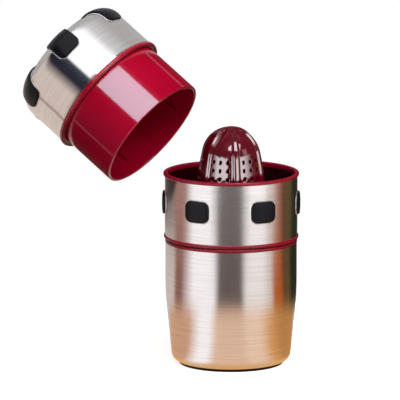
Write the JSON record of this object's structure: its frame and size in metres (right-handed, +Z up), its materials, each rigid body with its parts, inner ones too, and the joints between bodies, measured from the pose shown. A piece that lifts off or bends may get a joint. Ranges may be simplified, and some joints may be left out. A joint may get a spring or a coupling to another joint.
{
  "type": "citrus twist press",
  "caption": "Hand citrus juicer: a tapered steel cup, a screw-on press body with a ribbed, perforated reamer, and a twist lid that pushes a fruit half down onto it.",
  "frame": {"origin": "centre of the base pad's underside, where the cup stands on a table", "axes": "+Z up along the cup's axis; -Y towards the viewer of the picture; the lid, taken off, is to the left and behind, at -X and +Y"},
  "size_m": [0.1848, 0.1443, 0.2307],
  "materials": {
    "steel": "drawn stainless steel, brushed round the axis",
    "red_plastic": "glossy moulded plastic, deep red",
    "grip_rubber": "satin black silicone",
    "seal_rubber": "satin dark red silicone"
  },
  "bodies": {
    "cup": {"base_pad": "grip_rubber", "cup_shell": "steel", "cup_collar": "red_plastic"},
    "cup_seal": {"cup_seal": "seal_rubber"},
    "press_body": {"press_bottom_ring": "red_plastic", "press_sleeve": "steel", "press_liner": "red_plastic", "reamer": "red_plastic", "press_grip_pad_1": "grip_rubber", "press_grip_pad_2": "grip_rubber", "press_grip_pad_3": "grip_rubber", "press_grip_pad_4": "grip_rubber", "press_grip_pad_5": "grip_rubber", "press_grip_pad_6": "grip_rubber"},
    "lid_seal": {"lid_seal": "seal_rubber"},
    "lid": {"lid_ring": "red_plastic", "press_cup": "red_plastic", "lid_cover": "steel", "lid_grip_pad_1": "grip_rubber", "lid_grip_pad_2": "grip_rubber", "lid_grip_pad_3": "grip_rubber", "lid_grip_pad_4": "grip_rubber", "lid_grip_pad_5": "grip_rubber", "lid_grip_pad_6": "grip_rubber"}
  },
  "joints": [
    {"name": "press_body_rise", "type": "slide", "parent": "cup", "child": "cup_seal", "axis": [0, 0, 1], "range_m": [0, 0.01001]},
    {"name": "press_body_turn", "type": "hinge", "parent": "cup_seal", "child": "press_body", "pos_m": [0, 0, 0.0846], "axis": [0, 0, 1], "range_deg": [0, 450]},
    {"name": "lid_swing", "type": "hinge", "parent": "cup", "child": "lid_seal", "pos_m": [0, 0, 0.1059], "axis": [0.4772, 0.8788, 0], "range_deg": [0, 54]},
    {"name": "lid_twist", "type": "hinge", "parent": "lid_seal", "child": "lid", "pos_m": [-0.0807, 0.04381, 0.17261], "axis": [-0.711, 0.386, 0.5878], "continuous": true}
  ],
  "couplings": [
    {"joint": "press_body_rise", "follows": "press_body_turn", "m_per_rad": 0.0012732}
  ]
}
